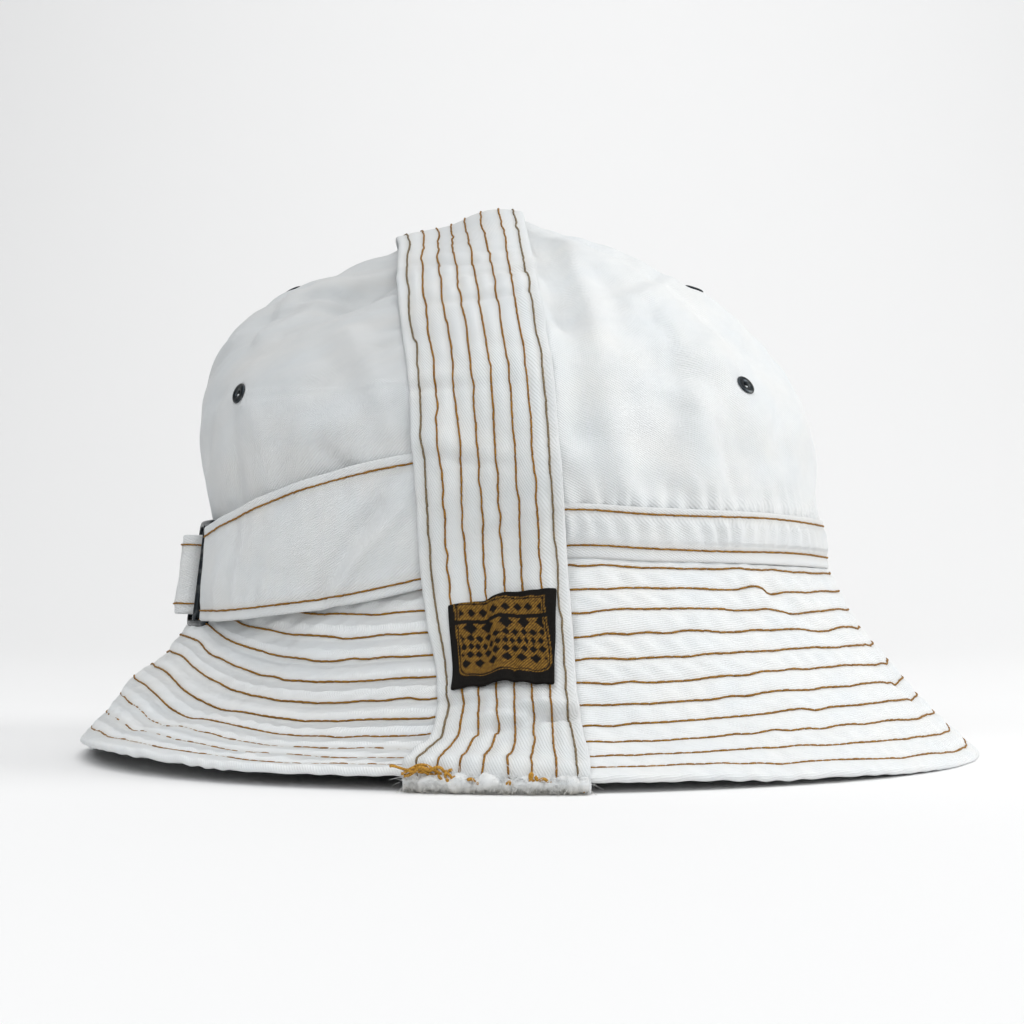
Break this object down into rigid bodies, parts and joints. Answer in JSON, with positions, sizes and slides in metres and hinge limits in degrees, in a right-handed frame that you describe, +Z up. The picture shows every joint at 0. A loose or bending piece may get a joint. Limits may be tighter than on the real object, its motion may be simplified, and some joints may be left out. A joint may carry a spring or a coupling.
{
  "type": "sailor-style bucket hat",
  "caption": "Soft twill bucket hat with a rounded crown, downturned stitched brim, wide centre strap, back belt with a wire slide buckle and metal air eyelets.",
  "frame": {"origin": "on the floor, under the middle of the hat's box", "axes": "+X towards the front of the hat, +Y towards its left side, +Z up"},
  "size_m": [0.2904, 0.2822, 0.1797],
  "materials": {
    "crown_twill": "white cotton twill, matt",
    "brim_twill": "white cotton twill, matt, with rows of orange-brown stitching",
    "strap_twill": "white cotton twill, matt, with lengthwise stitching and raw frayed ends",
    "belt_twill": "white cotton twill, matt, stitched along both edges",
    "label_cloth": "woven label, black with a gold-brown field",
    "dark_metal": "dark gunmetal"
  },
  "bodies": {
    "root": {"crown_front": "crown_twill", "crown_back": "crown_twill", "brim_front": "brim_twill", "brim_back": "brim_twill", "front_band": "crown_twill", "centre_strap": "strap_twill", "belt_near": "belt_twill", "belt_far": "belt_twill", "buckle": "dark_metal", "eyelet_front_right": "dark_metal", "eyelet_front_left": "dark_metal", "eyelet_front_top": "dark_metal", "eyelet_back_right": "dark_metal", "eyelet_back_left": "dark_metal", "eyelet_back_top": "dark_metal", "label": "label_cloth"}
  },
  "joints": []
}
